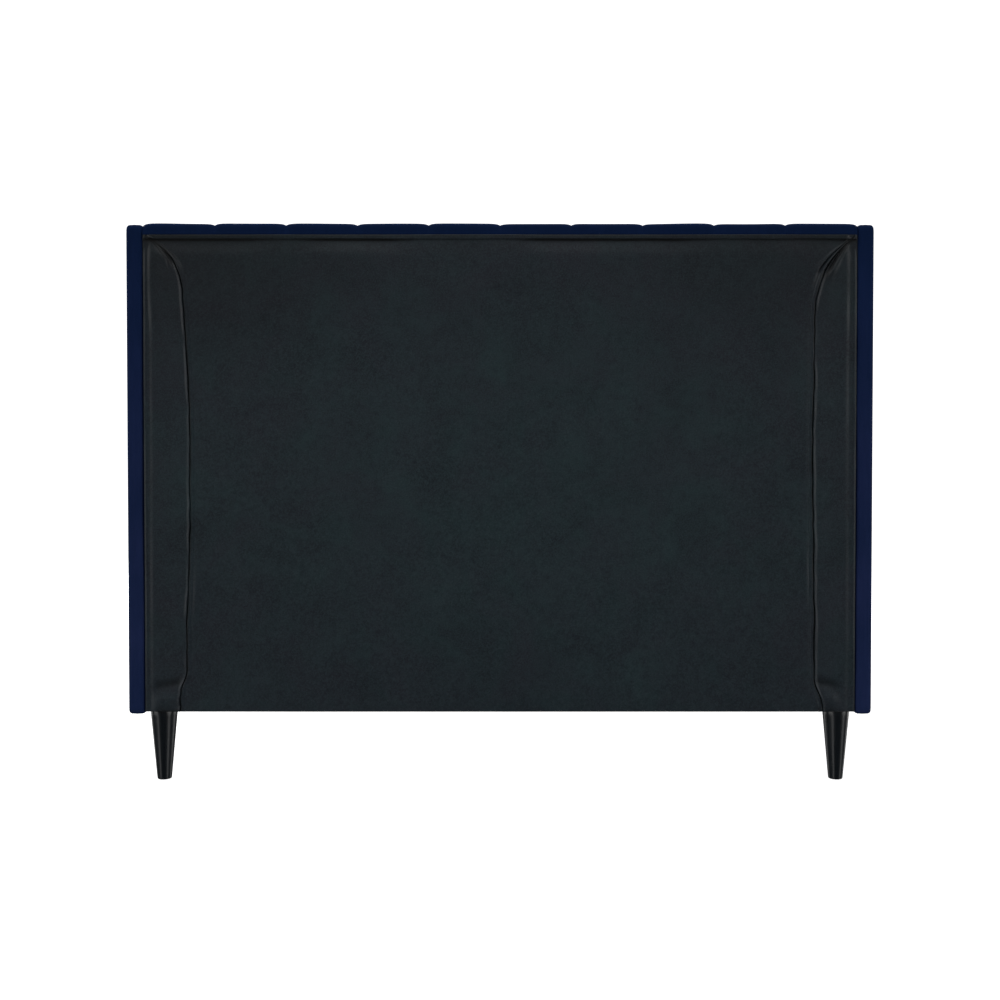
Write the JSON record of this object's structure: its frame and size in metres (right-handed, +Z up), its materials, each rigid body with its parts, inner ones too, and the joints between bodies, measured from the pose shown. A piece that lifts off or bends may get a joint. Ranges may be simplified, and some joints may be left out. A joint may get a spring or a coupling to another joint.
{
  "type": "upholstered bed",
  "caption": "Low platform bed frame with a slatted base and a tall padded headboard of vertical channels between two flat wings, on tapered legs.",
  "frame": {"origin": "on the floor under the middle of the bed's bounding box", "axes": "+Z up, +Y from the foot end to the headboard's rear face, +X to the right of someone at the foot who looks at the headboard"},
  "size_m": [1.673, 2.195, 1.252],
  "materials": {
    "velvet": "matte",
    "dust_cover": "matte",
    "leg_lacquer": "gloss",
    "timber": "matte",
    "plywood": "matte",
    "slat_wood": "matte",
    "steel": "satin",
    "plastic": "matte"
  },
  "bodies": {
    "bed": {"beam_hanger_foot": "steel", "beam_hanger_head": "steel", "centre_beam": "timber", "centre_leg_1": "plastic", "centre_leg_2": "plastic", "channel_pad_01": "velvet", "channel_pad_02": "velvet", "channel_pad_03": "velvet", "channel_pad_04": "velvet", "channel_pad_05": "velvet", "channel_pad_06": "velvet", "channel_pad_07": "velvet", "channel_pad_08": "velvet", "channel_pad_09": "velvet", "channel_pad_10": "velvet", "corner_block_left": "timber", "corner_block_right": "timber", "dust_cover": "dust_cover", "foot_rail": "timber", "foot_rail_cover": "velvet", "headboard_bottom_rail": "timber", "headboard_lower_cover": "velvet", "headboard_middle_rail": "timber", "headboard_panel": "plywood", "headboard_post_left": "timber", "headboard_post_right": "timber", "headboard_top_rail": "timber", "leg_bolt_foot_left": "steel", "leg_bolt_foot_right": "steel", "leg_bolt_head_left": "steel", "leg_bolt_head_right": "steel", "leg_foot_left": "leg_lacquer", "leg_foot_right": "leg_lacquer", "leg_head_left": "leg_lacquer", "leg_head_right": "leg_lacquer", "rail_bracket_left": "steel", "rail_bracket_right": "steel", "side_rail_cover_left": "velvet", "side_rail_cover_right": "velvet", "side_rail_left": "timber", "side_rail_right": "timber", "slat_01": "slat_wood", "slat_02": "slat_wood", "slat_03": "slat_wood", "slat_04": "slat_wood", "slat_05": "slat_wood", "slat_06": "slat_wood", "slat_07": "slat_wood", "slat_08": "slat_wood", "slat_09": "slat_wood", "slat_10": "slat_wood", "slat_11": "slat_wood", "slat_ledger_left": "timber", "slat_ledger_right": "timber", "wing_cover_left": "velvet", "wing_cover_right": "velvet", "wing_frame_left": "plywood", "wing_frame_right": "plywood"},
    "foot_screw_1": {"levelling_foot_1": "plastic"},
    "foot_screw_2": {"levelling_foot_2": "plastic"}
  },
  "joints": [
    {"name": "levelling_foot_1_slide", "type": "slide", "parent": "bed", "child": "foot_screw_1", "axis": [0, 0, -1], "range_m": [0, 0.015]},
    {"name": "levelling_foot_2_slide", "type": "slide", "parent": "bed", "child": "foot_screw_2", "axis": [0, 0, -1], "range_m": [0, 0.015]}
  ]
}
